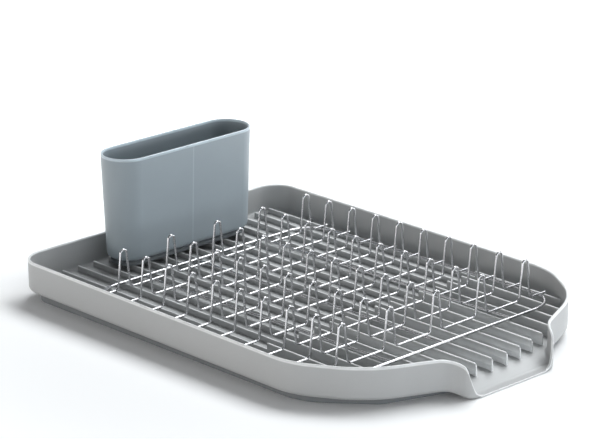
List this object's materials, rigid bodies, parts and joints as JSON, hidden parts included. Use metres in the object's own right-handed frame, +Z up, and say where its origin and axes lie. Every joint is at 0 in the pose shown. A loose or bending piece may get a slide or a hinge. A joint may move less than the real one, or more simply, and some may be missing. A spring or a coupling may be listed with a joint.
{
  "type": "dish drainer",
  "caption": "Countertop dish drainer: ribbed drip tray with a pouring spout on a base ring, lift-out wire rack with rows of tines, and a divided cutlery cup.",
  "frame": {"origin": "middle of the footprint on the worktop, at the underside of the base ring", "axes": "+X along the tray towards the spout, +Y to the back, +Z up"},
  "size_m": [0.4786, 0.338, 0.1272],
  "materials": {
    "tray": "satin moulded plastic, warm light grey",
    "base_ring": "matt, dark blue-grey",
    "chrome_wire": "bright plated wire",
    "cup": "satin moulded plastic, blue-grey",
    "cup_foot": "matt, dark blue-grey"
  },
  "bodies": {
    "tray": {"tray": "tray", "base_ring": "base_ring"},
    "rack": {"rack_frame": "chrome_wire", "rack_long_wire_1": "chrome_wire", "rack_long_wire_2": "chrome_wire", "rack_long_wire_3": "chrome_wire", "tine_wire_01": "chrome_wire", "tine_wire_02": "chrome_wire", "tine_wire_03": "chrome_wire", "tine_wire_04": "chrome_wire", "tine_wire_05": "chrome_wire", "tine_wire_06": "chrome_wire", "tine_wire_07": "chrome_wire", "tine_wire_08": "chrome_wire", "tine_wire_09": "chrome_wire", "tine_wire_10": "chrome_wire"},
    "cup": {"cup": "cup", "cup_foot": "cup_foot"}
  },
  "joints": [
    {"name": "rack_lift", "type": "slide", "parent": "tray", "child": "rack", "axis": [0, 0, 1], "range_m": [0, 0.11]},
    {"name": "cup_lift", "type": "slide", "parent": "tray", "child": "cup", "axis": [0, 0, 1], "range_m": [0, 0.11]}
  ]
}
